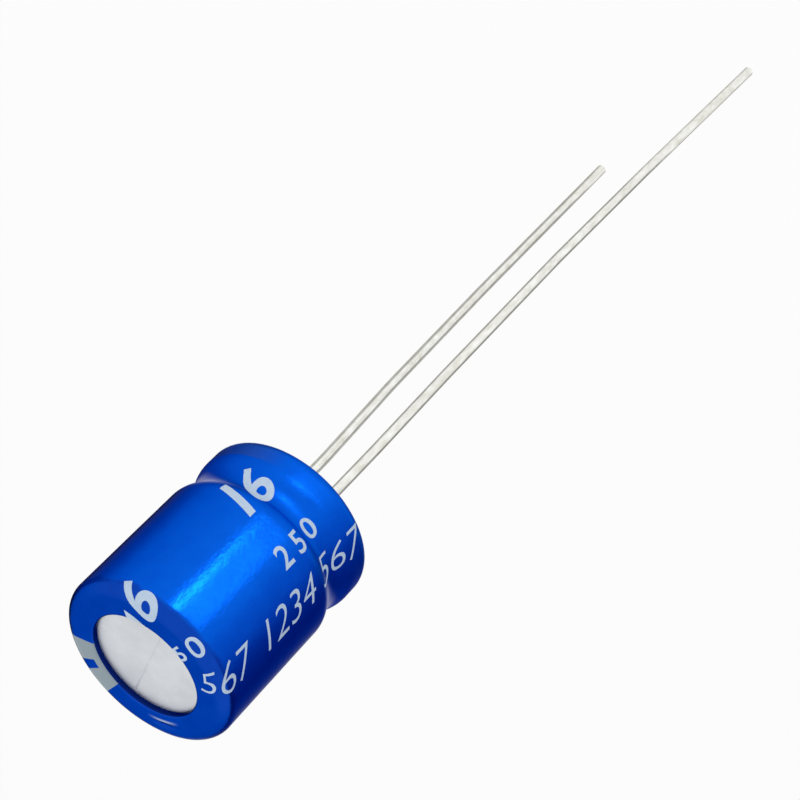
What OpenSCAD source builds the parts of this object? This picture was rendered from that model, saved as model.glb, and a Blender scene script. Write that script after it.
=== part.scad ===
// Radial aluminium electrolytic capacitor, 10 mm can with a 5 mm lead pitch.
// The leads point down. The origin lies on the seating plane, midway between the leads.
// +X runs from the negative lead to the positive lead, and the vent end is at the top.

/* [Can] */
// Outside diameter of the can above the bead
can_d = 10; // [9.6:0.1:10.6]
// Height of the can from its rolled rim to the vent end
can_h = 12.25; // [12:0.05:16]
// Thickness of the side wall
wall_t = 0.3; // [0.2:0.05:0.4]
// Thickness of the vent end inside the coined face
end_t = 0.3; // [0.25:0.05:0.5]
// Outside rounding between the side wall and the vent end
end_corner_r = 0.65; // [0.5:0.05:1]

/* [Bead and rolled rim] */
// Height of the bead's deepest point above the rolled rim
bead_z = 2.75; // [2.6:0.05:3.2]
// Depth of the bead below the side wall
bead_depth = 0.42; // [0.3:0.02:0.54]
// Radius at the bottom of the bead
bead_root_r = 1.6; // [1.2:0.05:1.9]
// Radius where the side wall turns into the bead
bead_shoulder_r = 1.45; // [1.2:0.05:1.7]
// Outside diameter of the can below the bead
head_d = 9.85; // [9.6:0.05:10]
// Outside radius of the rolled rim
curl_r = 0.6; // [0.5:0.05:0.8]
// How far the rim is rolled past the lowest point, in degrees
curl_bite = 35; // [20:1:50]

/* [Vent] */
// Diameter of the face coined into the vent end
vent_face_d = 6.5; // [6.2:0.02:7.2]
// Depth of the coined face
vent_face_depth = 0.24; // [0.12:0.01:0.3]
// Rounding around the edge of the coined face
vent_edge_r = 0.1; // [0.04:0.01:0.16]
// Length of each arm of the cross score, from end to end
score_len = 5.9; // [4:0.1:6]
// Width of the score at the surface
score_w = 0.16; // [0.1:0.02:0.3]
// Depth of the score
score_depth = 0.04; // [0.02:0.01:0.12]
// Turn of the cross from the line of the leads, in degrees
score_turn = 28; // [0:1:89]

/* [Sleeve] */
// Thickness of the shrink sleeve
sleeve_t = 0.1; // [0.06:0.01:0.15]
// Diameter of the sleeve's opening at the lead end
lead_opening_d = 7.9; // [7.4:0.05:8.1]

/* [Bung] */
// Height of the rubber bung above the bead
bung_land = 0.55; // [0.45:0.05:0.9]
// Depth of the bung's outer face inside the rolled rim
bung_recess = 0.25; // [0.15:0.01:0.28]
// Chamfer around the bung's inner face
bung_chamfer = 0.3; // [0.1:0.05:0.4]

/* [Leads] */
// Distance between the two leads
lead_pitch = 5; // [4.6:0.1:5.2]
// Diameter of the tinned wire
lead_d = 0.6; // [0.5:0.05:0.7]
// Length of the positive lead below the seating plane
positive_lead_len = 48.3; // [25:0.1:60]
// Length of the negative lead below the seating plane
negative_lead_len = 37.7; // [20:0.1:60]
// Straight length of each lead before its first bend
lead_straight = 5; // [3:0.5:8]
// Radius of the gentle bends, at the middle of the wire
lead_bend_r = 40; // [20:5:60]

/* [Tabs] */
// Diameter of the round boss that passes through the bung
boss_d = 1.6; // [1.4:0.05:1.8]
// Thickness of the flattened paddle
paddle_t = 0.2; // [0.15:0.01:0.25]
// Width of the paddle
paddle_w = 2.4; // [1.8:0.1:2.8]
// Length of the paddle along the foil
paddle_len = 4.8; // [3:0.1:5.2]
// Height of the taper between boss and paddle
boss_taper_h = 0.5; // [0.3:0.05:0.7]
// Width of the weld where wire and boss meet
weld_d = 1.1; // [1:0.05:1.3]

/* [Winding] */
// Radius of the hollow core left by the winding mandrel
core_r = 0.95; // [0.8:0.01:1.1]
// Number of turns
turns = 11; // [9:1:11]
// Thickness of the anode foil
anode_t = 0.1; // [0.08:0.005:0.105]
// Thickness of the cathode foil
cathode_t = 0.05; // [0.03:0.005:0.055]
// Thickness of each paper separator
paper_t = 0.05; // [0.04:0.005:0.052]
// Thickness of the fixing tape
tape_t = 0.05; // [0.03:0.005:0.06]
// How far the papers stand past the foils at each end
paper_overhang = 0.4; // [0.2:0.05:0.6]

/* [Clearances] */
// Gap between sleeve and can, and between bung and can
skin_gap = 0.01; // [0.005:0.005:0.02]
// Gap between neighbouring layers of the winding
layer_gap = 0.01; // [0.005:0.005:0.015]
// Gap around a boss in its hole in the bung
boss_gap = 0.01; // [0.005:0.005:0.02]
// Free angle past the end of the rolled rim in the bung, in degrees
bite_gap = 2; // [1:0.5:3]
// Space between the bung and the winding, where the tabs flatten
tab_space = 0.6; // [0.5:0.05:0.8]
// Space between the winding and the vent end
end_space = 0.25; // [0.15:0.05:0.4]

/* [Hidden] */
$fn = 96;
sleeve_colour = [0.04, 0.29, 0.78];
aluminium_colour = [0.82, 0.83, 0.85];
tin_colour = [0.78, 0.78, 0.75];
rubber_colour = [0.12, 0.12, 0.12];
anode_colour = [0.5, 0.52, 0.54];
cathode_colour = [0.7, 0.71, 0.72];
paper_colour = [0.85, 0.78, 0.6];
tape_colour = [0.9, 0.85, 0.7];

// Heights above the seating plane
rim_z = sleeve_t + skin_gap;
curl_z = rim_z + curl_r;
bead_mid_z = rim_z + bead_z;
can_top_z = rim_z + can_h;
bung_z = rim_z + bung_recess;
weld_top_z = bung_z - skin_gap;
vent_face_z = can_top_z - vent_face_depth;
floor_z = vent_face_z - end_t;

// Radii of the can and of its rolled rim
can_r = can_d / 2;
head_r = head_d / 2;
curl_mid_r = head_r - curl_r;
bead_root_mid_r = can_r - bead_depth + bead_root_r;
bead_reach = bead_root_r + bead_shoulder_r;
// Height between the centre of a bead's root and the centre of a shoulder of the given depth
function shoulder_rise(depth) = sqrt(2 * bead_reach * depth - depth * depth);
upper_shoulder_z = bead_mid_z + shoulder_rise(bead_depth);
lower_shoulder_z = bead_mid_z - shoulder_rise(bead_depth - (can_r - head_r));
// Slope of the line from a shoulder's centre to the centre of the bead's root
upper_tilt = asin((upper_shoulder_z - bead_mid_z) / bead_reach);
lower_tilt = asin((bead_mid_z - lower_shoulder_z) / bead_reach);
// The bung ends above the bead, and the winding fills the height that is left
bung_top_z = upper_shoulder_z + bung_land;
winding_z = bung_top_z + tab_space;
winding_top_z = floor_z - end_space;
foil_z = winding_z + paper_overhang;
foil_top_z = winding_top_z - paper_overhang;
// Largest step along a rounded outline, in degrees
arc_step = 9;

// Layers of one turn, each given by its distance from the inside of the turn
anode_in = paper_t + layer_gap;
outer_paper_in = anode_in + anode_t + layer_gap;
cathode_in = outer_paper_in + paper_t + layer_gap;
turn_pitch = cathode_in + cathode_t + layer_gap;
// The turn whose foil lies nearest to a lead carries that lead's paddle
tab_turn = round((lead_pitch / 2 - core_r - anode_in - anode_t) / turn_pitch);
positive_paddle_r = core_r + tab_turn * turn_pitch + anode_in + anode_t + layer_gap;
negative_paddle_r = core_r + (tab_turn - 0.5) * turn_pitch + cathode_in + cathode_t + layer_gap;
// The turns outside a paddle are pushed out far enough to clear its edges
paddle_half_angle = asin(paddle_w / 2 / negative_paddle_r);
bulge = (paddle_t + layer_gap) / cos(paddle_half_angle);

// Bends of each lead: share of the free length, turn and compass direction in degrees
positive_bends = [[0.16, 0.65, 87], [0.28, 0.6, -70], [0.23, 1.05, -71], [0.33, 0.5, -73]];
negative_bends = [[0.2, 2, 130], [0.31, 1.3, -71], [0.49, 0.65, -71]];

// Points along an arc, between two directions in degrees
function arc(centre, r, from, to) =
    let (steps = max(2, ceil(abs(to - from) / arc_step)))
    [for (i = [0:steps]) let (a = from + (to - from) * i / steps) centre + r * [cos(a), sin(a)]];

function reversed(points) = [for (i = [len(points) - 1:-1:0]) points[i]];

// The can's half section as paths from the bottom up, each moved into the metal by the given inset
function rim_path(inset, bite) = arc([curl_mid_r, curl_z], curl_r - inset, -90 - bite, 0);

function bead_path(inset) = concat(
    arc([head_r - bead_shoulder_r, lower_shoulder_z], bead_shoulder_r - inset, 0, lower_tilt),
    arc([bead_root_mid_r, bead_mid_z], bead_root_r + inset, 180 + lower_tilt, 180 - upper_tilt),
    arc([can_r - bead_shoulder_r, upper_shoulder_z], bead_shoulder_r - inset, -upper_tilt, 0));

function corner_path(inset) =
    arc([can_r - end_corner_r, can_top_z - end_corner_r], end_corner_r - inset, 0, 90);

function vent_edge_path(inset) =
    arc([vent_face_d / 2 + vent_edge_r, can_top_z - vent_edge_r], vent_edge_r - inset, 90, 180);

// Film shrunk over the can: under the rolled rim at one end, down to the coined face at the other
module sleeve() {
    inside = -skin_gap;
    outside = -skin_gap - sleeve_t;
    cut_z = vent_face_z + skin_gap;
    color(sleeve_colour)
        rotate_extrude()
            polygon(concat([[lead_opening_d / 2, 0]], rim_path(outside, 0), bead_path(outside),
                           corner_path(outside), vent_edge_path(outside),
                           [[vent_face_d / 2 + outside, cut_z], [vent_face_d / 2 + inside, cut_z]],
                           reversed(vent_edge_path(inside)), reversed(corner_path(inside)),
                           reversed(bead_path(inside)), reversed(rim_path(inside, 0)),
                           [[lead_opening_d / 2, sleeve_t]]));
}

// One arm of the score, as a V-shaped bar along X
module score_arm() {
    rotate([90, 0, 90])
        translate([0, 0, -score_len / 2])
            linear_extrude(score_len)
                polygon([[-score_w / 2, 0], [-score_w / 2, score_depth], [score_w / 2, score_depth],
                         [score_w / 2, 0], [0, -score_depth]]);
}

module can() {
    inner_corner_r = end_corner_r - wall_t;
    inner_corner_mid = [can_r - wall_t - inner_corner_r, floor_z - inner_corner_r];
    color(aluminium_colour)
        difference() {
            rotate_extrude()
                polygon(concat(rim_path(0, curl_bite), bead_path(0), corner_path(0), vent_edge_path(0),
                               [[vent_face_d / 2, vent_face_z], [0, vent_face_z], [0, floor_z]],
                               arc(inner_corner_mid, inner_corner_r, 90, 0),
                               reversed(bead_path(wall_t)), reversed(rim_path(wall_t, curl_bite))));
            for (arm = [0, 90])
                translate([0, 0, vent_face_z])
                    rotate(score_turn + arm)
                        score_arm();
        }
}

module bung() {
    inset = wall_t + skin_gap;
    bite = curl_bite + bite_gap;
    side_r = can_r - inset;
    color(rubber_colour)
        difference() {
            rotate_extrude()
                polygon(concat([[0, bung_z], [curl_mid_r - (curl_z - bung_z) * tan(bite), bung_z]],
                               rim_path(inset, bite), bead_path(inset),
                               [[side_r, bung_top_z - bung_chamfer], [side_r - bung_chamfer, bung_top_z],
                                [0, bung_top_z]]));
            for (side = [-1, 1])
                translate([side * lead_pitch / 2, 0, 0])
                    cylinder(d = boss_d + 2 * boss_gap, h = 2 * bung_top_z);
        }
}

// A wire that hangs from the origin, bent at the end of its straight stretch and after each share
module bent_wire(straight, free_len, bends, i = 0) {
    run = i == 0 ? straight : free_len * bends[i - 1][0];
    translate([0, 0, -run]) {
        cylinder(d = lead_d, h = run);
        if (i < len(bends)) {
            turn = bends[i][1];
            rotate(bends[i][2]) {
                translate([lead_bend_r, 0, 0])
                    rotate([90, 0, 0])
                        rotate([0, 0, 180])
                            rotate_extrude(angle = turn)
                                translate([lead_bend_r, 0])
                                    circle(d = lead_d);
                translate([lead_bend_r * (1 - cos(turn)), 0, -lead_bend_r * sin(turn)])
                    rotate([0, -turn, 0])
                        rotate(-bends[i][2])
                            bent_wire(straight, free_len, bends, i + 1);
            }
        }
    }
}

// Length of wire in the bends themselves
function arc_len(bends, i = 0) =
    i == len(bends) ? 0 : lead_bend_r * bends[i][1] * PI / 180 + arc_len(bends, i + 1);

module lead(side, length, bends) {
    color(tin_colour)
        translate([side * lead_pitch / 2, 0, 0]) {
            cylinder(d1 = lead_d, d2 = weld_d, h = weld_top_z);
            bent_wire(lead_straight, length - lead_straight - arc_len(bends), bends);
        }
}

module positive_lead() lead(1, positive_lead_len, positive_bends);

module negative_lead() lead(-1, negative_lead_len, negative_bends);

// Boss through the bung, taper, and a paddle curved like the turn that it lies against
module tab(side, paddle_r, middle_y) {
    boss_top_z = bung_top_z + layer_gap;
    paddle_z = foil_z;
    color(aluminium_colour) {
        translate([side * lead_pitch / 2, 0, weld_top_z])
            cylinder(d = boss_d, h = boss_top_z - weld_top_z);
        translate([side * lead_pitch / 2, 0, boss_top_z])
            cylinder(d1 = boss_d, d2 = boss_d / 2, h = boss_taper_h);
        translate([0, middle_y, boss_top_z])
            linear_extrude(paddle_z + paddle_len - boss_top_z)
                intersection() {
                    difference() {
                        circle(paddle_r + paddle_t);
                        circle(paddle_r);
                    }
                    translate([side > 0 ? 0 : -can_r, -paddle_w / 2])
                        square([can_r, paddle_w]);
                }
    }
}

module positive_tab() tab(1, positive_paddle_r, 0);

module negative_tab() tab(-1, negative_paddle_r, turn_pitch / 2);

// Half of one turn: a half ring whose centre is pushed out, with short straight ends
module half_turn(side, inner_r, thick, push) {
    mirror([side > 0 ? 0 : 1, 0]) {
        translate([push, 0])
            difference() {
                circle(inner_r + thick);
                circle(inner_r);
                translate([-can_r, -can_r])
                    square([can_r, 2 * can_r]);
            }
        if (push > 0)
            for (end_y = [inner_r, -inner_r - thick])
                translate([0, end_y])
                    square([push, thick]);
    }
}

// A strip wound from right-hand and left-hand half turns, which together make a spiral
module strip(inset, thick, z0, z1, first_turn, last_turn) {
    translate([0, 0, z0])
        linear_extrude(z1 - z0)
            for (k = [first_turn:last_turn]) {
                right_r = core_r + k * turn_pitch + inset;
                left_r = right_r + turn_pitch / 2;
                half_turn(1, right_r, thick, right_r >= positive_paddle_r ? bulge : 0);
                translate([0, turn_pitch / 2])
                    half_turn(-1, left_r, thick, left_r >= negative_paddle_r ? bulge : 0);
            }
}

module inner_separator() {
    color(paper_colour)
        strip(0, paper_t, winding_z, winding_top_z, 0, turns - 1);
}

module anode_foil() {
    color(anode_colour)
        strip(anode_in, anode_t, foil_z, foil_top_z, 0, turns - 1);
}

module outer_separator() {
    color(paper_colour)
        strip(outer_paper_in, paper_t, winding_z, winding_top_z, 0, turns - 1);
}

module cathode_foil() {
    color(cathode_colour)
        strip(cathode_in, cathode_t, foil_z, foil_top_z, 0, turns - 1);
}

module fixing_tape() {
    color(tape_colour)
        strip(0, tape_t, winding_z + paper_overhang, winding_top_z - paper_overhang, turns, turns);
}

sleeve();
can();
bung();
positive_lead();
negative_lead();
positive_tab();
negative_tab();
anode_foil();
cathode_foil();
inner_separator();
outer_separator();
fixing_tape();
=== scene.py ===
"""Looks of a radial electrolytic capacitor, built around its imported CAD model."""
import math

import bpy
import bmesh
from mathutils import Matrix, Vector, noise


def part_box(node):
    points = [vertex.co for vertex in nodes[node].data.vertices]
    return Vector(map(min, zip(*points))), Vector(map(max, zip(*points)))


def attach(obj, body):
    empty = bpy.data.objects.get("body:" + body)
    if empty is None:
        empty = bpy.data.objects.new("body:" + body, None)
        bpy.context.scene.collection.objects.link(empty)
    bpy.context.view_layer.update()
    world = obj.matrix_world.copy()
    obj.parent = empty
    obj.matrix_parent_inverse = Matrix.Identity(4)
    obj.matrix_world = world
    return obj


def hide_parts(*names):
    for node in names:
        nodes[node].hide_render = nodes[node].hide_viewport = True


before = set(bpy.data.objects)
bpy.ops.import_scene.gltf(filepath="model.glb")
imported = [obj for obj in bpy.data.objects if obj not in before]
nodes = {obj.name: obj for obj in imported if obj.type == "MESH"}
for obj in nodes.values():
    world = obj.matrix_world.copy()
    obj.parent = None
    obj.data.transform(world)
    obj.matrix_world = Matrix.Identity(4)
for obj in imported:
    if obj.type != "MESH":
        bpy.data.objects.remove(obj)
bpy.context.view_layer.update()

# The can: one piece of aluminium, impact-extruded from a slug, with a coined and scored vent face.
# After filling, a bead is rolled into its wall and the rim is curled over the rubber. Only the vent
# face and the curled rim show past the sleeve.
MM = 0.001
CAN_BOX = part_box("can")
CAN_RADIUS = CAN_BOX[1].x
CAN_TOP = CAN_BOX[1].z


def linear(hex_colour):
    """The linear colour of an sRGB hex value."""
    parts = [int(hex_colour[i:i + 2], 16) / 255 for i in (1, 3, 5)]
    return [p / 12.92 if p <= 0.04045 else ((p + 0.055) / 1.055) ** 2.4 for p in parts] + [1.0]


def add_node(tree, kind, settings=None, links=None):
    """Adds a node, with its settings and with a value or another node's output on each named input."""
    node = tree.nodes.new(kind)
    for name, value in (settings or {}).items():
        setattr(node, name, value)
    for name, value in (links or {}).items():
        if isinstance(value, bpy.types.NodeSocket):
            tree.links.new(value, node.inputs[name])
        else:
            node.inputs[name].default_value = value
    return node


def new_material(name, **sockets):
    """A material with one Principled shader; returns it, its tree and the shader."""
    material = bpy.data.materials.new(name)
    material.use_nodes = True
    tree = material.node_tree
    shader = tree.nodes["Principled BSDF"]
    for socket, value in sockets.items():
        shader.inputs[socket.replace("_", " ")].default_value = value
    return material, tree, shader


def object_noise(tree, size, detail=3.0, stretch=(1, 1, 1), roughness=0.5):
    """Noise on the object's own coordinates, its largest features about size wide, in metres."""
    place = add_node(tree, "ShaderNodeTexCoord").outputs["Object"]
    scale = [1 / (size * s) for s in stretch]
    placed = add_node(tree, "ShaderNodeMapping", None, {"Vector": place, "Scale": scale})
    return add_node(tree, "ShaderNodeTexNoise", None, {
        "Vector": placed.outputs["Vector"], "Scale": 1.0, "Detail": detail, "Roughness": roughness,
    }).outputs["Fac"]


def between(tree, value, low, high, clamp_from=(0.3, 0.7)):
    """Spreads a noise value over a range of numbers."""
    return add_node(tree, "ShaderNodeMapRange", None, {
        "Value": value, "From Min": clamp_from[0], "From Max": clamp_from[1], "To Min": low, "To Max": high,
    }).outputs["Result"]


def blend_colours(tree, factor, first, second):
    """Mixes two colours, each a hex value or another node's output."""
    mix = add_node(tree, "ShaderNodeMix", {"data_type": "RGBA"})
    tree.links.new(factor, mix.inputs["Factor"])
    for socket, colour in ((mix.inputs[6], first), (mix.inputs[7], second)):
        if isinstance(colour, str):
            socket.default_value = linear(colour)
        else:
            tree.links.new(colour, socket)
    return mix.outputs[2]


def add_bump(tree, shader, height, depth):
    """Raises the shader's surface by a height pattern, depth metres high."""
    bump = add_node(tree, "ShaderNodeBump", None, {"Height": height, "Distance": depth, "Strength": 1.0})
    tree.links.new(bump.outputs["Normal"], shader.inputs["Normal"])


def paint(name, material):
    """Gives a CAD node its material."""
    mesh = nodes[name].data
    mesh.materials.clear()
    mesh.materials.append(material)


def drawn_aluminium(name, light, dark, roughness):
    """Aluminium as it leaves the press: a satin metal with faint cloudy patches and a fine grain."""
    material, tree, shader = new_material(name, Metallic=1.0)
    clouds = object_noise(tree, 1.6 * MM, detail=4.0)
    grain = object_noise(tree, 0.09 * MM, detail=2.0)
    colour = blend_colours(tree, between(tree, clouds, 0.0, 1.0), light, dark)
    tree.links.new(colour, shader.inputs["Base Color"])
    tree.links.new(between(tree, grain, roughness - 0.05, roughness + 0.07), shader.inputs["Roughness"])
    add_bump(tree, shader, grain, 0.002 * MM)
    return material


paint("can", drawn_aluminium("extruded_aluminium", "#D8DBDF", "#CBCFD4", 0.46))

# The tabs: aluminium too, a round boss pressed flat at its inner end. The boss passes through the
# rubber and the flat paddle is stitched to the foil, so both stay out of sight in the closed can.
tab_aluminium = drawn_aluminium("pressed_aluminium", "#C9CBCE", "#BABDC1", 0.38)
for tab in ("positive_tab", "negative_tab"):
    paint(tab, tab_aluminium)

# The winding: two aluminium foils and two papers rolled together and closed with a tape. The foils
# are etched until they are matt and grey, and the papers are soaked with electrolyte. It is sealed in.
anode_oxide = drawn_aluminium("etched_and_formed_foil", "#8B8F92", "#7C8083", 0.62)
cathode_etch = drawn_aluminium("etched_foil", "#A3A5A8", "#94979A", 0.58)
paint("anode_foil", anode_oxide)
paint("cathode_foil", cathode_etch)


def fibre_paper(name, light, dark, roughness):
    """Thin kraft paper or tape: matt fibres along the strip, a little darker where it is wet."""
    material, tree, shader = new_material(name, Metallic=0.0)
    fibres = object_noise(tree, 0.12 * MM, detail=3.0, stretch=(1, 1, 6))
    colour = blend_colours(tree, between(tree, fibres, 0.0, 1.0), light, dark)
    tree.links.new(colour, shader.inputs["Base Color"])
    tree.links.new(between(tree, fibres, roughness - 0.05, roughness + 0.05), shader.inputs["Roughness"])
    add_bump(tree, shader, fibres, 0.003 * MM)
    return material


kraft = fibre_paper("soaked_kraft_paper", "#CDBB91", "#B09C70", 0.55)
for paper in ("inner_separator", "outer_separator"):
    paint(paper, kraft)
paint("fixing_tape", fibre_paper("polypropylene_tape", "#E0D6B4", "#D2C69F", 0.4))

# The bung: one moulding of black butyl rubber, pressed into the can's mouth and held by the bead and
# the curled rim. Its outer face shows around the leads.
rubber, rubber_tree, rubber_shader = new_material("butyl_rubber", IOR=1.52)
rubber_skin = object_noise(rubber_tree, 0.16 * MM, detail=4.0)
rubber_colour = blend_colours(rubber_tree, between(rubber_tree, rubber_skin, 0.0, 1.0), "#2B2B2C", "#1F1F20")
rubber_tree.links.new(rubber_colour, rubber_shader.inputs["Base Color"])
rubber_tree.links.new(between(rubber_tree, rubber_skin, 0.5, 0.68), rubber_shader.inputs["Roughness"])
add_bump(rubber_tree, rubber_shader, rubber_skin, 0.006 * MM)
paint("bung", rubber)

# The leads: copper-clad steel wire with a bright tin plate, butt-welded to the tabs' bosses just
# under the rubber. The weld leaves a small cone. Each wire has the slight bends of handled parts.
LEAD_PITCH = 5 * MM
WIRE_RADIUS = 0.3 * MM
WELD_RADIUS = 0.55 * MM
WELD_TOP = 0.35 * MM
LEAD_STRAIGHT = 5 * MM
BEND_RADIUS = 40 * MM
# Bends of each lead: share of the free length before it, turn and compass direction in degrees
POSITIVE_BENDS = [(0.16, 0.65, 87), (0.28, 0.6, -70), (0.23, 1.05, -71), (0.33, 0.5, -73)]
NEGATIVE_BENDS = [(0.2, 2, 130), (0.31, 1.3, -71), (0.49, 0.65, -71)]
POSITIVE_LENGTH = 48.3 * MM
NEGATIVE_LENGTH = 37.7 * MM
STEPS_PER_RUN = 12
STEPS_PER_BEND = 4


def geometry_tree(name, inputs):
    """A new Geometry Nodes tree, its group input and output, and each named input's identifier."""
    tree = bpy.data.node_groups.new(name, "GeometryNodeTree")
    tree.is_modifier = True
    tree.interface.new_socket("Geometry", in_out="INPUT", socket_type="NodeSocketGeometry")
    tree.interface.new_socket("Geometry", in_out="OUTPUT", socket_type="NodeSocketGeometry")
    identifiers = {}
    for label, kind in inputs.items():
        socket = tree.interface.new_socket(label, in_out="INPUT", socket_type=kind)
        identifiers[label] = socket.identifier
    return tree, tree.nodes.new("NodeGroupInput").outputs, tree.nodes.new("NodeGroupOutput"), identifiers


def make_piece(name, source, tree, identifiers, values):
    """Runs a tree on an object and keeps the result as a plain mesh piece in the row frame."""
    modifier = source.modifiers.new(tree.name, "NODES")
    modifier.node_group = tree
    for label, value in values.items():
        modifier[identifiers[label]] = value
    evaluated = source.evaluated_get(bpy.context.evaluated_depsgraph_get())
    mesh = bpy.data.meshes.new_from_object(evaluated)
    source.modifiers.remove(modifier)
    bpy.data.objects.remove(source)
    piece = bpy.data.objects.new(name, mesh)
    piece.data.name = name
    bpy.context.scene.collection.objects.link(piece)
    mesh.shade_smooth()
    return piece


def curve_object(name, points, radii=None):
    """A plain open curve through the points, with a radius at each."""
    curve = bpy.data.curves.new(name, "CURVE")
    curve.dimensions = "3D"
    spline = curve.splines.new("POLY")
    spline.points.add(len(points) - 1)
    for i, point in enumerate(points):
        spline.points[i].co = (*point, 1.0)
        spline.points[i].radius = radii[i] if radii else 1.0
    holder = bpy.data.objects.new(name, curve)
    bpy.context.scene.collection.objects.link(holder)
    return holder


def lead_path(side, length, bends):
    """Points down the middle of a lead, from the seating plane to its tip."""
    bend_length = sum(BEND_RADIUS * math.radians(turn) for _, turn, _ in bends)
    free = length - LEAD_STRAIGHT - bend_length
    place = Matrix.Translation((side * LEAD_PITCH / 2, 0, 0))
    runs = [LEAD_STRAIGHT] + [free * share for share, _, _ in bends]
    points = []
    for i, run in enumerate(runs):
        for step in range(STEPS_PER_RUN):
            points.append(place @ Vector((0, 0, -run * step / STEPS_PER_RUN)))
        place = place @ Matrix.Translation((0, 0, -run))
        if i < len(bends):
            _, turn, compass = bends[i]
            turn = math.radians(turn)
            compass = math.radians(compass)
            place = place @ Matrix.Rotation(compass, 4, "Z")
            for step in range(STEPS_PER_BEND):
                a = turn * step / STEPS_PER_BEND
                points.append(place @ Vector((BEND_RADIUS * (1 - math.cos(a)), 0, -BEND_RADIUS * math.sin(a))))
            bent = Vector((BEND_RADIUS * (1 - math.cos(turn)), 0, -BEND_RADIUS * math.sin(turn)))
            place = place @ Matrix.Translation(bent) @ Matrix.Rotation(-turn, 4, "Y")
            place = place @ Matrix.Rotation(-compass, 4, "Z")
    points.append(place @ Vector((0, 0, 0)))
    return points


tin_plate, tin_tree, tin_shader = new_material("bright_tin_plate", Metallic=1.0)
# Tin keeps shallow draw marks along the wire and dull patches where it was handled
draw_marks = object_noise(tin_tree, 0.1 * MM, detail=3.0, stretch=(1, 1, 14))
dull_patches = object_noise(tin_tree, 0.32 * MM, detail=3.0, stretch=(1, 1, 2.4))
tin_colour = blend_colours(tin_tree, between(tin_tree, dull_patches, 0.0, 1.0), "#FFFFFC", "#E4E3D9")
tin_tree.links.new(tin_colour, tin_shader.inputs["Base Color"])
tin_tree.links.new(between(tin_tree, dull_patches, 0.12, 0.26), tin_shader.inputs["Roughness"])
tin_shader.inputs["Specular Tint"].default_value = linear("#8E8D86")
add_bump(tin_tree, tin_shader, draw_marks, 0.006 * MM)

sweep, sweep_in, sweep_out, sweep_ids = geometry_tree("wire_along_a_path", {
    "Sides": "NodeSocketInt", "Finish": "NodeSocketMaterial",
})
ring = add_node(sweep, "GeometryNodeCurvePrimitiveCircle", None, {"Resolution": sweep_in["Sides"], "Radius": 1.0})
tube = add_node(sweep, "GeometryNodeCurveToMesh", None, {
    "Curve": sweep_in["Geometry"], "Profile Curve": ring.outputs["Curve"], "Fill Caps": True,
    "Scale": add_node(sweep, "GeometryNodeInputRadius").outputs["Radius"],
})
swept = add_node(sweep, "GeometryNodeRealizeInstances", None, {"Geometry": tube.outputs["Mesh"]})
sweep_finish = add_node(sweep, "GeometryNodeSetMaterial", None, {
    "Geometry": swept.outputs["Geometry"], "Material": sweep_in["Finish"],
})
sweep.links.new(sweep_finish.outputs["Geometry"], sweep_out.inputs["Geometry"])

for lead, side, length, bends in (
    ("positive_lead", 1, POSITIVE_LENGTH, POSITIVE_BENDS),
    ("negative_lead", -1, NEGATIVE_LENGTH, NEGATIVE_BENDS),
):
    path = lead_path(side, length, bends)
    radii = [WIRE_RADIUS] * len(path)
    path.insert(0, Vector((side * LEAD_PITCH / 2, 0, WELD_TOP)))
    radii.insert(0, WELD_RADIUS)
    wire = make_piece("tinned_" + lead, curve_object(lead + "_path", path, radii), sweep, sweep_ids,
                      {"Sides": 40, "Finish": tin_plate})
    wire.data.set_sharp_from_angle(angle=math.radians(40))
    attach(wire, "root")
    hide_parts(lead)

# The sleeve: a tube of thin printed film, shrunk with heat over the closed can. It follows the can
# from the curled rim over the bead and the wall to the coined vent face, where its cut edge lies.
# The colour is a clear blue dye over a bright ground, so it glows like metal. Over the vent end a deeper
# blue is painted as shade, and the curled rim, the pucker's crest and the groove get paler painted
# reflections. A pale stripe marks the negative side.
SLEEVE_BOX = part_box("sleeve")
FILM_THICKNESS = 0.1 * MM
INK_THICKNESS = 0.01 * MM
FILM_RADIUS = SLEEVE_BOX[1].x - INK_THICKNESS
FILM_TOP = SLEEVE_BOX[1].z - INK_THICKNESS
SKIN = FILM_RADIUS - CAN_RADIUS
VENT_EDGE_X = 3.25 * MM
VENT_EDGE_R = 0.1 * MM
VENT_FACE_Z = 12.13 * MM
CORNER_R = 0.65 * MM
BEAD_ROOT_X = 6.18 * MM
BEAD_ROOT_Z = 2.86 * MM
BEAD_ROOT_R = 1.6 * MM
BEAD_SHOULDER_R = 1.45 * MM
UPPER_SHOULDER_Z = 4.4046 * MM
LOWER_SHOULDER_Z = 1.4511 * MM
UPPER_TILT = 30.43
LOWER_TILT = 27.52
HEAD_RADIUS = 4.925 * MM
CURL_R = 0.6 * MM
CURL_Z = 0.71 * MM
LEAD_OPENING_R = 3.95 * MM
ARC_STEP = 5.0
STRAIGHT_STEP = 0.3 * MM
FILM_COLUMNS = 300
RING_STEPS = 14
RING_STEP = (CAN_RADIUS - CORNER_R - VENT_EDGE_X - VENT_EDGE_R) / RING_STEPS
GATHER_LENGTH = 0.9 * MM


def arc(x, z, radius, start, end):
    """Points of an arc in the film's section, between two directions in degrees."""
    count = max(2, math.ceil(abs(end - start) / ARC_STEP))
    angles = [math.radians(start + (end - start) * i / count) for i in range(count + 1)]
    return [(x + radius * math.cos(a), z + radius * math.sin(a)) for a in angles]


def with_steps(points):
    """The same outline with extra points on its long straight stretches."""
    filled = [points[0]]
    for (x0, z0), (x1, z1) in zip(points, points[1:]):
        count = max(1, math.ceil(math.hypot(x1 - x0, z1 - z0) / STRAIGHT_STEP))
        filled += [(x0 + (x1 - x0) * i / count, z0 + (z1 - z0) * i / count) for i in range(1, count + 1)]
    return filled


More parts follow.
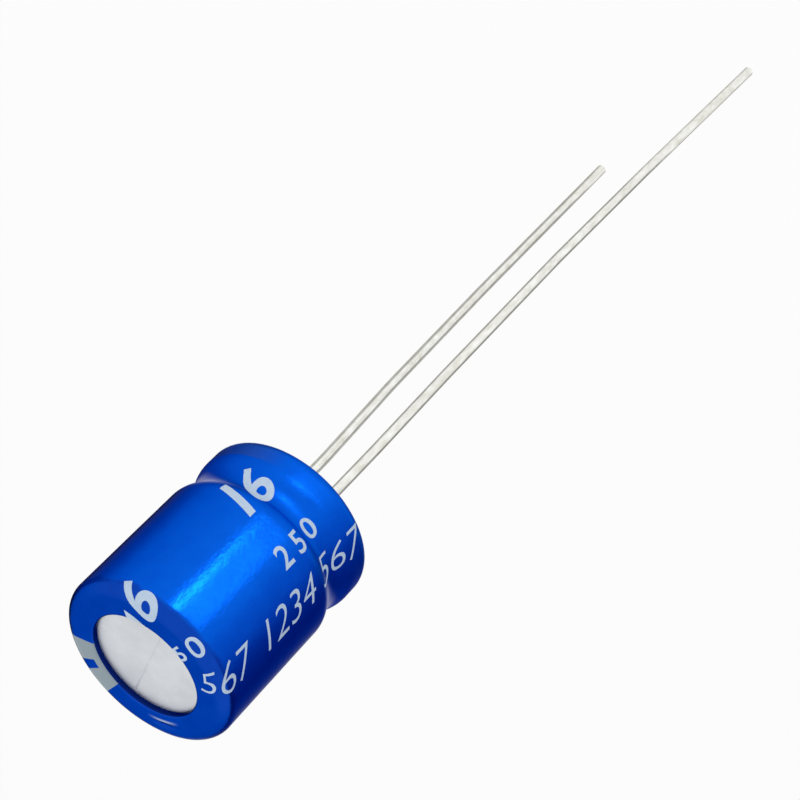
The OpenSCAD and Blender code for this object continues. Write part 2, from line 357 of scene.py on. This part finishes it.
film_section = with_steps(
    [(VENT_EDGE_X - SKIN, VENT_FACE_Z)]
    + arc(VENT_EDGE_X + VENT_EDGE_R, CAN_TOP - VENT_EDGE_R, VENT_EDGE_R + SKIN, 180, 90)
    + [(VENT_EDGE_X + VENT_EDGE_R + RING_STEP * i, CAN_TOP + SKIN) for i in range(1, RING_STEPS)]
    + arc(CAN_RADIUS - CORNER_R, CAN_TOP - CORNER_R, CORNER_R + SKIN, 90, 0)
    + arc(CAN_RADIUS - BEAD_SHOULDER_R, UPPER_SHOULDER_Z, BEAD_SHOULDER_R + SKIN, 0, -UPPER_TILT)
    + arc(BEAD_ROOT_X, BEAD_ROOT_Z, BEAD_ROOT_R - SKIN, 180 - UPPER_TILT, 180 + LOWER_TILT)
    + arc(HEAD_RADIUS - BEAD_SHOULDER_R, LOWER_SHOULDER_Z, BEAD_SHOULDER_R + SKIN, LOWER_TILT, 0)
    + arc(HEAD_RADIUS - CURL_R, CURL_Z, CURL_R + SKIN, 0, -90)
    + [(LEAD_OPENING_R, CURL_Z - CURL_R - SKIN)]
)
steps = [math.dist(a, b) for a, b in zip(film_section, film_section[1:])]
film_rows = [sum(steps[:i]) for i in range(len(film_section))]
FILM_LENGTH = film_rows[-1]

# Wraps a flat sheet round the can: x is the length along the film's section, y the way round and z
# the height above the film. The film's slight unevenness is the same for the sheet and for the print.
wrap, wrap_in, wrap_out, wrap_ids = geometry_tree("wrap_round_the_can", {
    "Section": "NodeSocketObject", "Wrap Radius": "NodeSocketFloat", "Unevenness": "NodeSocketFloat",
    "Gather": "NodeSocketFloat", "Gather Length": "NodeSocketFloat", "Pucker Depth": "NodeSocketFloat",
    "Pucker Along": "NodeSocketFloat", "Pucker Width": "NodeSocketFloat", "Pucker Place": "NodeSocketFloat",
    "Pucker Spread": "NodeSocketFloat", "Finish": "NodeSocketMaterial",
})


def sum_of(tree, operation, first, second=0.0, third=0.0):
    """The result of one sum on numbers or outputs."""
    return add_node(tree, "ShaderNodeMath", {"operation": operation}, {0: first, 1: second, 2: third}).outputs[0]


flat = add_node(wrap, "ShaderNodeSeparateXYZ", None, {
    "Vector": add_node(wrap, "GeometryNodeInputPosition").outputs["Position"],
}).outputs
section_line = add_node(wrap, "GeometryNodeObjectInfo", None, {"Object": wrap_in["Section"]})
on_section = add_node(wrap, "GeometryNodeSampleCurve", {"mode": "LENGTH", "use_all_curves": True}, {
    "Curves": section_line.outputs["Geometry"], "Length": flat["X"],
}).outputs
foot = add_node(wrap, "ShaderNodeSeparateXYZ", None, {"Vector": on_section["Position"]}).outputs
slope = add_node(wrap, "ShaderNodeSeparateXYZ", None, {"Vector": on_section["Tangent"]}).outputs
turned = sum_of(wrap, "DIVIDE", flat["Y"], wrap_in["Wrap Radius"])
cosine = sum_of(wrap, "COSINE", turned)
sine = sum_of(wrap, "SINE", turned)
# Fine puckers run from the cut edge over the fold; further on the film only waves a little
folds_at = add_node(wrap, "ShaderNodeCombineXYZ", None, {"X": cosine, "Y": sine, "Z": 0.0}).outputs["Vector"]
folds = add_node(wrap, "ShaderNodeTexNoise", None, {"Vector": folds_at, "Scale": 11.0, "Detail": 2.0}).outputs["Fac"]
waves_at = add_node(wrap, "ShaderNodeCombineXYZ", None, {
    "X": cosine, "Y": sine, "Z": sum_of(wrap, "MULTIPLY", flat["X"], 240.0),
}).outputs["Vector"]
waves = add_node(wrap, "ShaderNodeTexNoise", None, {"Vector": waves_at, "Scale": 2.2, "Detail": 1.0}).outputs["Fac"]
near_edge = add_node(wrap, "ShaderNodeMapRange", {"interpolation_type": "SMOOTHSTEP"}, {
    "Value": flat["X"], "From Min": 0.0, "From Max": wrap_in["Gather Length"], "To Min": 1.0, "To Max": 0.0,
}).outputs["Result"]
gathered = sum_of(wrap, "MULTIPLY", sum_of(wrap, "MULTIPLY", folds, near_edge), wrap_in["Gather"])
sunk = sum_of(wrap, "ADD", sum_of(wrap, "MULTIPLY", waves, wrap_in["Unevenness"]), gathered)
# One short pucker lies beside the opening, where the film had the most to take in
off_pucker = sum_of(wrap, "ABSOLUTE", sum_of(wrap, "SUBTRACT", flat["X"], wrap_in["Pucker Along"]))
off_place = sum_of(wrap, "ABSOLUTE", sum_of(wrap, "SUBTRACT", turned, wrap_in["Pucker Place"]))
in_pucker = add_node(wrap, "ShaderNodeMapRange", {"interpolation_type": "SMOOTHSTEP"}, {
    "Value": off_pucker, "From Min": 0.0, "From Max": wrap_in["Pucker Width"], "To Min": 1.0, "To Max": 0.0,
}).outputs["Result"]
at_place = add_node(wrap, "ShaderNodeMapRange", {"interpolation_type": "SMOOTHSTEP"}, {
    "Value": off_place, "From Min": 0.0, "From Max": wrap_in["Pucker Spread"], "To Min": 1.0, "To Max": 0.0,
}).outputs["Result"]
puckered = sum_of(wrap, "MULTIPLY", sum_of(wrap, "MULTIPLY", in_pucker, at_place), wrap_in["Pucker Depth"])
sunk = sum_of(wrap, "ADD", sunk, puckered)
# A pale line painted along the pucker's crest stands for its highlight, and is kept as an attribute
crest_line = sum_of(wrap, "SUBTRACT", wrap_in["Pucker Along"], wrap_in["Pucker Width"])
off_crest = sum_of(wrap, "ABSOLUTE", sum_of(wrap, "SUBTRACT", flat["X"], crest_line))
on_crest = add_node(wrap, "ShaderNodeMapRange", {"interpolation_type": "SMOOTHSTEP"}, {
    "Value": off_crest, "From Min": 0.03 * MM, "From Max": 0.11 * MM, "To Min": 1.0, "To Max": 0.0,
}).outputs["Result"]
crest_highlight = sum_of(wrap, "MULTIPLY", on_crest, at_place)
lift = sum_of(wrap, "SUBTRACT", flat["Z"], sunk)
out_x = sum_of(wrap, "SUBTRACT", foot["X"], sum_of(wrap, "MULTIPLY", slope["Z"], lift))
out_z = sum_of(wrap, "MULTIPLY_ADD", slope["X"], lift, foot["Z"])
wrapped_at = add_node(wrap, "ShaderNodeCombineXYZ", None, {
    "X": sum_of(wrap, "MULTIPLY", out_x, cosine), "Y": sum_of(wrap, "MULTIPLY", out_x, sine), "Z": out_z,
})
marked = add_node(wrap, "GeometryNodeStoreNamedAttribute", {"data_type": "FLOAT", "domain": "POINT"}, {
    "Geometry": wrap_in["Geometry"], "Name": "along_film", "Value": flat["X"],
})
marked = add_node(wrap, "GeometryNodeStoreNamedAttribute", {"data_type": "FLOAT", "domain": "POINT"}, {
    "Geometry": marked.outputs["Geometry"], "Name": "creased", "Value": crest_highlight,
})
wrapped = add_node(wrap, "GeometryNodeSetPosition", None, {
    "Geometry": marked.outputs["Geometry"], "Position": wrapped_at.outputs["Vector"],
})
real = add_node(wrap, "GeometryNodeRealizeInstances", None, {"Geometry": wrapped.outputs["Geometry"]})
wrap_finish = add_node(wrap, "GeometryNodeSetMaterial", None, {
    "Geometry": real.outputs["Geometry"], "Material": wrap_in["Finish"],
})
wrap.links.new(wrap_finish.outputs["Geometry"], wrap_out.inputs["Geometry"])

section_curve = curve_object("film_section", [(x, 0, z) for x, z in film_section])
WRAP = {
    "Section": section_curve, "Wrap Radius": FILM_RADIUS, "Unevenness": 0.012 * MM,
    "Gather": 0.03 * MM, "Gather Length": GATHER_LENGTH, "Pucker Depth": 0.09 * MM, "Pucker Along": 1.08 * MM,
    "Pucker Width": 0.28 * MM, "Pucker Place": math.radians(244), "Pucker Spread": math.radians(17),
}

STRIPE_CENTRE = 169.5
STRIPE_HALF = 23.6
DASH_HALF = 4.2
DASH_LENGTH = 1.9 * MM
DASH_PITCH = 3.21 * MM
DASH_START = 0.78 * MM
CORNER_END = 2.5 * MM
CREST_END = 0.3 * MM
HEAD_START = 12.98 * MM
BEAD_START = 10.0 * MM
GROOVE_MIDDLE = 11.5 * MM

film, film_tree, film_shader = new_material("dyed_shrink_film", Metallic=1.0)
along = add_node(film_tree, "ShaderNodeAttribute", {"attribute_name": "along_film"}).outputs["Fac"]
film_place = add_node(film_tree, "ShaderNodeTexCoord").outputs["Object"]
from_stripe = add_node(film_tree, "ShaderNodeMapping", None, {
    "Vector": film_place, "Rotation": (0, 0, -math.radians(STRIPE_CENTRE)),
})
around = add_node(film_tree, "ShaderNodeSeparateXYZ", None, {"Vector": from_stripe.outputs["Vector"]}).outputs
off_centre = sum_of(film_tree, "ABSOLUTE", sum_of(film_tree, "ARCTAN2", around["Y"], around["X"]))
in_stripe = sum_of(film_tree, "LESS_THAN", off_centre, math.radians(STRIPE_HALF))
dash_row = sum_of(film_tree, "LESS_THAN", off_centre, math.radians(DASH_HALF))
dash_step = sum_of(film_tree, "MODULO", sum_of(film_tree, "SUBTRACT", along, DASH_START - DASH_PITCH), DASH_PITCH)
dash_on = sum_of(film_tree, "LESS_THAN", dash_step, DASH_LENGTH)
in_dash = sum_of(film_tree, "MULTIPLY", dash_row, dash_on)
past_crest = sum_of(film_tree, "GREATER_THAN", along, CREST_END)
inked = sum_of(film_tree, "MULTIPLY", in_stripe, sum_of(film_tree, "SUBTRACT", 1.0, in_dash))
inked = sum_of(film_tree, "MULTIPLY", inked, past_crest)


def step_up(tree, value, low, high):
    """0 below low and 1 above high, with a soft rise between."""
    return add_node(tree, "ShaderNodeMapRange", {"interpolation_type": "SMOOTHSTEP"}, {
        "Value": value, "From Min": low, "From Max": high, "To Min": 0.0, "To Max": 1.0,
    }).outputs["Result"]


film_clouds = object_noise(film_tree, 1.2 * MM, detail=4.0)
# A deeper blue, painted as shade, covers the vent end's ring and corner and ends unevenly round it
corner_line = sum_of(film_tree, "ADD", along, between(film_tree, film_clouds, -0.16 * MM, 0.16 * MM))
past_corner = step_up(film_tree, corner_line, CORNER_END - 0.2 * MM, CORNER_END + 0.2 * MM)
# Over the curled rim a greyer blue is painted as its reflection, on the stripe's side, fading out on the other
rim_reflection_side = step_up(film_tree, off_centre, math.radians(130), math.radians(98))
past_head = step_up(film_tree, along, HEAD_START - 0.06 * MM, HEAD_START + 0.06 * MM)
past_head = sum_of(film_tree, "MULTIPLY", past_head, rim_reflection_side)
wall_blue = blend_colours(film_tree, between(film_tree, film_clouds, 0.0, 1.0), "#065EDD", "#0558D6")
# Painted shade for the vent end: a deeper blue
shaded_ends_blue = blend_colours(film_tree, between(film_tree, film_clouds, 0.0, 1.0), "#1044B3", "#0D3EA9")
dye_and_painted_light = blend_colours(film_tree, past_corner, shaded_ends_blue, wall_blue)
# Painted reflection over the curled rim: a greyer blue
dye_and_painted_light = blend_colours(film_tree, past_head, dye_and_painted_light, "#2A5ABC")
# The film's inner wall inside the crest, round the vent opening, is painted dark navy as shade
dye_and_painted_light = blend_colours(film_tree, past_crest, "#0A1F66", dye_and_painted_light)
# Painted highlight: a pale line along the pucker's crest
creased = add_node(film_tree, "ShaderNodeAttribute", {"attribute_name": "creased"}).outputs["Fac"]
dye_and_painted_light = blend_colours(film_tree, creased, dye_and_painted_light, "#C4D4E8")
film_colour = blend_colours(film_tree, inked, dye_and_painted_light, "#8C9CA6")
# Painted sheen: where the groove is seen edge-on, a pale lilac, not metallic, stands in for the white
# surround it reflects
edge_on = add_node(film_tree, "ShaderNodeLayerWeight", None, {"Blend": 0.5}).outputs["Facing"]
groove_start = step_up(film_tree, along, GROOVE_MIDDLE - 1.6 * MM, GROOVE_MIDDLE - 0.8 * MM)
groove_end = step_up(film_tree, along, GROOVE_MIDDLE + 0.2 * MM, GROOVE_MIDDLE + 1.0 * MM)
in_groove = sum_of(film_tree, "SUBTRACT", groove_start, groove_end)
painted_groove_sheen = sum_of(film_tree, "MULTIPLY", in_groove, step_up(film_tree, edge_on, 0.62, 0.95))
painted_groove_sheen = sum_of(film_tree, "MULTIPLY", painted_groove_sheen, 0.8)
film_colour = blend_colours(film_tree, painted_groove_sheen, film_colour, "#C2C1E2")
# The print and the painted sheen are not metallic
ink_and_painted_sheen = sum_of(film_tree, "MAXIMUM", inked, painted_groove_sheen)
film_tree.links.new(sum_of(film_tree, "SUBTRACT", 1.0, ink_and_painted_sheen), film_shader.inputs["Metallic"])
film_tree.links.new(film_colour, film_shader.inputs["Base Color"])
film_shader.inputs["Specular Tint"].default_value = linear("#AEB2BC")
film_grain = object_noise(film_tree, 0.17 * MM, detail=3.0, stretch=(1, 1, 1.8))
# The film is stretched and a little hazy from the bead down to the curled rim
over_bead = step_up(film_tree, along, BEAD_START - 0.4 * MM, BEAD_START + 0.4 * MM)
gloss = between(film_tree, film_grain, 0.17, 0.24)
haze = sum_of(film_tree, "MULTIPLY_ADD", over_bead, 0.15, gloss)
film_tree.links.new(haze, film_shader.inputs["Roughness"])
add_bump(film_tree, film_shader, film_grain, 0.009 * MM)

# The flat film is a slab of two skins, closed at both cut edges and joined round its seam
flat_film = bmesh.new()
skins = []
for skin in (0.0, -FILM_THICKNESS):
    skins.append([[
        flat_film.verts.new((x, 2 * math.pi * FILM_RADIUS * column / FILM_COLUMNS, skin))
        for column in range(FILM_COLUMNS)] for x in film_rows])
outer, inner = skins
last_row = len(film_rows) - 1
for column in range(FILM_COLUMNS):
    after = (column + 1) % FILM_COLUMNS
    for row in range(last_row):
        flat_film.faces.new((outer[row][column], outer[row + 1][column], outer[row + 1][after], outer[row][after]))
        flat_film.faces.new((inner[row][after], inner[row + 1][after], inner[row + 1][column], inner[row][column]))
    flat_film.faces.new((outer[0][after], inner[0][after], inner[0][column], outer[0][column]))
    flat_film.faces.new((outer[last_row][column], inner[last_row][column],
                         inner[last_row][after], outer[last_row][after]))
film_mesh = bpy.data.meshes.new("flat_film")
flat_film.to_mesh(film_mesh)
flat_film.free()
film_sheet = bpy.data.objects.new("flat_film", film_mesh)
bpy.context.scene.collection.objects.link(film_sheet)
sleeve = make_piece("printed_sleeve", film_sheet, wrap, wrap_ids, {**WRAP, "Finish": film})
sleeve.data.set_sharp_from_angle(angle=math.radians(50))
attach(sleeve, "root")
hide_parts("sleeve")

# The figures: plain numbers screened on the flat film in pale ink before it is cut and shrunk. The
# same block repeats along the film, so the vent opening cuts the first one.
INK_COLOUR = "#C3D7EC"
BLOCK_PITCH = 9.62 * MM
CUT_LENGTH = 0.12 * MM
# Figures of one block: text, where it starts along the film, compass angles of foot and top, slant,
# weight and spacing
BLOCK = (
    ("16", 9.3 * MM, 34.5, 63.0, 0.3, 0.02, 0.95),
    ("250", 8.6 * MM, -1.2, 12.8, 0.0, 0.012, 1.48),
    ("1234 567", 5.5 * MM, -30.4, -12.5, 0.33, -0.012, 0.98),
)

ink, ink_tree, ink_shader = new_material("screen_ink", Metallic=0.0)
ink_grain = object_noise(ink_tree, 0.3 * MM, detail=3.0)
ink_colour = blend_colours(ink_tree, between(ink_tree, ink_grain, 0.0, 1.0), INK_COLOUR, "#BAD0E8")
ink_tree.links.new(ink_colour, ink_shader.inputs["Base Color"])
ink_tree.links.new(between(ink_tree, ink_grain, 0.4, 0.5), ink_shader.inputs["Roughness"])

printed = bmesh.new()
for text, start, foot_angle, top_angle, slant, weight, spacing in BLOCK:
    letters = bpy.data.curves.new("figures", "FONT")
    letters.body = text
    letters.shear = slant
    letters.offset = weight
    letters.space_character = spacing
    letters.resolution_u = 6
    letters.extrude = 0.5
    holder = bpy.data.objects.new("figures", letters)
    bpy.context.scene.collection.objects.link(holder)
    flat_text = bpy.data.meshes.new_from_object(holder.evaluated_get(bpy.context.evaluated_depsgraph_get()))
    bpy.data.objects.remove(holder)
    lowest = min(v.co.y for v in flat_text.vertices)
    tallest = max(v.co.y for v in flat_text.vertices) - lowest
    left = min(v.co.x for v in flat_text.vertices)
    foot_y = math.radians(foot_angle) * FILM_RADIUS
    scale = math.radians(top_angle - foot_angle) * FILM_RADIUS / tallest
    for repeat in (0, -1):
        block_start = start + repeat * BLOCK_PITCH
        copy = bmesh.new()
        copy.from_mesh(flat_text)
        for vert in copy.verts:
            x, y, z = vert.co
            vert.co = ((x - left) * scale + block_start, (y - lowest) * scale + foot_y,
                       INK_THICKNESS * (z + 0.49))
        part = bpy.data.meshes.new("part")
        copy.to_mesh(part)
        copy.free()
        printed.from_mesh(part)
bmesh.ops.remove_doubles(printed, verts=printed.verts, dist=1e-7)


def cut_flat(mesh, axis, low, high, pitch):
    """Cuts a flat mesh by parallel planes, so that it can bend."""
    for i in range(math.ceil((high - low) / pitch)):
        at = Vector((0, 0, 0))
        at[axis] = low + i * pitch
        along_axis = Vector((0, 0, 0))
        along_axis[axis] = 1
        geometry = mesh.verts[:] + mesh.edges[:] + mesh.faces[:]
        bmesh.ops.bisect_plane(mesh, geom=geometry, dist=1e-9, plane_co=at, plane_no=along_axis)


edge_cut = bmesh.ops.bisect_plane(
    printed, geom=printed.verts[:] + printed.edges[:] + printed.faces[:], dist=1e-9,
    plane_co=(0.05 * MM, 0, 0), plane_no=(1, 0, 0), clear_inner=True)
open_edges = [e for e in edge_cut["geom_cut"] if isinstance(e, bmesh.types.BMEdge)]
bmesh.ops.holes_fill(printed, edges=open_edges)
cut_flat(printed, 0, 0.0, FILM_LENGTH, CUT_LENGTH)
cut_flat(printed, 1, math.radians(-35) * FILM_RADIUS, math.radians(65) * FILM_RADIUS, 2 * CUT_LENGTH)
print_mesh = bpy.data.meshes.new("flat_print")
printed.to_mesh(print_mesh)
printed.free()
print_sheet = bpy.data.objects.new("flat_print", print_mesh)
bpy.context.scene.collection.objects.link(print_sheet)
figures = make_piece("printed_figures", print_sheet, wrap, wrap_ids, {**WRAP, "Finish": ink})
figures.data.set_sharp_from_angle(angle=math.radians(50))
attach(figures, "root")
bpy.data.objects.remove(section_curve)

# The studio: a plain pale floor that the long lead just touches, a white surround, soft lamps from
# the front, the top and the side, and the camera as the photograph has it.
FLOOR_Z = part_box("positive_lead")[0].z
FLOOR_HALF = 0.6
BODY_CENTRE = Vector((0, 0, 0.006))

floor_paper, floor_tree, floor_shader = new_material("seamless_paper", Roughness=0.85)
paper_grain = object_noise(floor_tree, 6 * MM, detail=3.0)
paper_colour = blend_colours(floor_tree, between(floor_tree, paper_grain, 0.0, 1.0), "#F6F6F6", "#F3F3F3")
floor_tree.links.new(paper_colour, floor_shader.inputs["Base Color"])
floor_shader.inputs["Specular IOR Level"].default_value = 0.1
light_path = add_node(floor_tree, "ShaderNodeLightPath").outputs
seen = sum_of(floor_tree, "MAXIMUM", light_path["Is Camera Ray"], light_path["Is Glossy Ray"])
seen = sum_of(floor_tree, "MAXIMUM", seen, light_path["Is Transmission Ray"])
white = add_node(floor_tree, "ShaderNodeEmission", None, {"Color": (1, 1, 1, 1), "Strength": 1.0})
FLOOR_WHITE_SHARE = 0.92
share = sum_of(floor_tree, "MULTIPLY", seen, FLOOR_WHITE_SHARE)
floor_mix = add_node(floor_tree, "ShaderNodeMixShader", None, {
    0: share, 1: floor_shader.outputs["BSDF"], 2: white.outputs["Emission"],
})
# From below the floor is clear, so that the lead end can be looked at
under_floor = add_node(floor_tree, "ShaderNodeNewGeometry").outputs["Backfacing"]
clear = add_node(floor_tree, "ShaderNodeBsdfTransparent")
floor_mix = add_node(floor_tree, "ShaderNodeMixShader", None, {
    0: under_floor, 1: floor_mix.outputs["Shader"], 2: clear.outputs["BSDF"],
})
floor_tree.links.new(floor_mix.outputs["Shader"], floor_tree.nodes["Material Output"].inputs["Surface"])

floor_mesh = bpy.data.meshes.new("floor")
floor_mesh.from_pydata([(x * FLOOR_HALF, y * FLOOR_HALF, FLOOR_Z) for x, y in ((-1, -1), (1, -1), (1, 1), (-1, 1))],
                       [], [(0, 1, 2, 3)])
floor_mesh.materials.append(floor_paper)
floor = bpy.data.objects.new("floor", floor_mesh)
bpy.context.scene.collection.objects.link(floor)

world = bpy.data.worlds.new("white_surround")
bpy.context.scene.world = world
world.use_nodes = True
world_tree = world.node_tree
background = world_tree.nodes["Background"]
background.inputs["Color"].default_value = (1, 1, 1, 1)
world_path = add_node(world_tree, "ShaderNodeLightPath").outputs
world_seen = sum_of(world_tree, "MAXIMUM", world_path["Is Camera Ray"], world_path["Is Glossy Ray"])
world_seen = sum_of(world_tree, "MAXIMUM", world_seen, world_path["Is Transmission Ray"])
WORLD_FILL = 0.5
world_strength = sum_of(world_tree, "MULTIPLY_ADD", world_seen, 1.0 - WORLD_FILL, WORLD_FILL)
world_tree.links.new(world_strength, background.inputs["Strength"])


def soft_lamp(name, compass, elevation, distance, width, height, power, colour=(1, 1, 1)):
    """A rectangular soft lamp that looks at the can from a compass direction and elevation."""
    lamp = bpy.data.lights.new(name, "AREA")
    lamp.shape = "RECTANGLE"
    lamp.size = width
    lamp.size_y = height
    lamp.energy = power
    lamp.color = colour
    holder = bpy.data.objects.new(name, lamp)
    a, e = math.radians(compass), math.radians(elevation)
    away = Vector((math.cos(e) * math.cos(a), math.cos(e) * math.sin(a), math.sin(e)))
    holder.location = BODY_CENTRE + away * distance
    holder.rotation_euler = away.to_track_quat("Z", "Y").to_euler()
    holder.visible_camera = False
    bpy.context.scene.collection.objects.link(holder)
    return holder


soft_lamp("key_softbox", 40, 50, 0.30, 0.20, 0.20, 0.30).visible_glossy = False
soft_lamp("top_softbox", 200, 60, 0.30, 0.22, 0.22, 0.10).visible_glossy = False
soft_lamp("front_softbox", 19, -25.5, 0.060, 0.027, 0.0115, 0.0013, (1, 1, 1))
soft_lamp("streak_strip", 38, -20.5, 0.060, 0.006, 0.0165, 0.0024)

CLOTH_PARTS = 24


def graded_cloth(name, path, radius, blueness, tones):
    """A cloth curved round a path from low to high or high to low, that only shiny surfaces mirror.

    Tones are its brightness by compass degrees; the higher the blueness, the bluer it is where dark.
    """
    first, last = tones[0][0], tones[-1][0]
    points = []
    for place in path:
        for i in range(CLOTH_PARTS + 1):
            a = math.radians(first + (last - first) * i / CLOTH_PARTS)
            points.append(Vector(place) + Vector((radius * math.cos(a), radius * math.sin(a), 0)))
    wide = CLOTH_PARTS + 1
    faces = [(wide * row + i, wide * row + i + 1, wide * (row + 1) + i + 1, wide * (row + 1) + i)
             for row in range(len(path) - 1) for i in range(CLOTH_PARTS)]
    mesh = bpy.data.meshes.new(name)
    mesh.from_pydata(points, [], faces)
    mesh.shade_smooth()
    cloth = bpy.data.materials.new(name + "_cloth")
    cloth.use_nodes = True
    tree = cloth.node_tree
    # Seen from inside, the cloth's normal points back at the path
    inward = add_node(tree, "ShaderNodeMapping", None, {
        "Vector": add_node(tree, "ShaderNodeNewGeometry").outputs["Normal"],
        "Rotation": (0, 0, math.pi - math.radians((first + last) / 2)),
    })
    spot = add_node(tree, "ShaderNodeSeparateXYZ", None, {"Vector": inward.outputs["Vector"]}).outputs
    angle = sum_of(tree, "ARCTAN2", spot["Y"], spot["X"])
    share = sum_of(tree, "MULTIPLY_ADD", angle, 1 / math.radians(last - first), 0.5)
    ramp = add_node(tree, "ShaderNodeValToRGB", None, {"Fac": share})
    stops = ramp.color_ramp.elements
    for i, (compass, tone) in enumerate(tones):
        position = (compass - first) / (last - first)
        stop = stops[i] if i < 1 else stops.new(position)
        stop.position = position
        stop.color = (tone ** blueness, tone ** blueness, tone, 1.0)
    stops.remove(stops[-1])
    glow = add_node(tree, "ShaderNodeEmission", None, {"Color": ramp.outputs["Color"], "Strength": 1.0})
    tree.links.new(glow.outputs["Emission"], tree.nodes["Material Output"].inputs["Surface"])
    mesh.materials.append(cloth)
    screen = bpy.data.objects.new(name, mesh)
    screen.visible_camera = False
    screen.visible_diffuse = False
    screen.visible_shadow = False
    bpy.context.scene.collection.objects.link(screen)


# Cloths hang beside the part, as usual for shiny things: they are out of the picture, and only the
# film and the wires mirror them, which gives them their darker sides
graded_cloth("left_cloth", [(0, 0, -0.0065), (0, 0, 0.0126)], 0.012, 1.7, (
    (62, 0.98), (85, 0.86), (101, 0.80), (118, 0.56), (138, 0.44), (154, 0.10), (168, 0.02), (190, 0.02),
    (215, 0.02)))
graded_cloth("right_cloth", [(0, 0, -0.0065), (0, 0, 0.0126)], 0.012, 1.7, (
    (236, 0.70), (249, 0.50), (267, 0.36), (284, 0.22), (300, 0.27), (316, 0.38), (332, 0.66), (348, 0.8),
    (358, 0.98)))
graded_cloth("left_wire_cloth", [(0, 0, FLOOR_Z), (0, 0, -0.0066)], 0.0125, 1.0, (
    (84, 0.95), (100, 0.55), (118, 0.42), (136, 0.55), (152, 0.95)))
graded_cloth("right_wire_cloth", [(0, 0, FLOOR_Z), (0, 0, -0.0066)], 0.0125, 1.0, (
    (240, 0.95), (258, 0.5), (282, 0.36), (304, 0.45), (320, 0.95)))

# Where the photograph was taken from, fitted to the body's outline and the leads
FOCAL_PIXELS = 2150
FRAME_PIXELS = 800
SENSOR = 36.0
CAMERA_PLACE = Vector((89.26, 30.94, 62.90)) * MM
CAMERA_RIGHT = Vector((0.63844, -0.53873, -0.54970))
CAMERA_BACK = Vector((0.74609, 0.25776, 0.61392))
camera_data = bpy.data.cameras.new("camera")
camera_data.sensor_width = SENSOR
camera_data.lens = FOCAL_PIXELS / FRAME_PIXELS * SENSOR
camera_data.clip_start = 1 * MM
camera = bpy.data.objects.new("camera", camera_data)
camera_up = CAMERA_BACK.cross(CAMERA_RIGHT)
turn = Matrix((CAMERA_RIGHT, camera_up, CAMERA_BACK)).transposed()
camera.matrix_world = Matrix.Translation(CAMERA_PLACE) @ turn.to_4x4()
bpy.context.scene.collection.objects.link(camera)
bpy.context.scene.camera = camera

bpy.context.scene.view_settings.view_transform = "Standard"
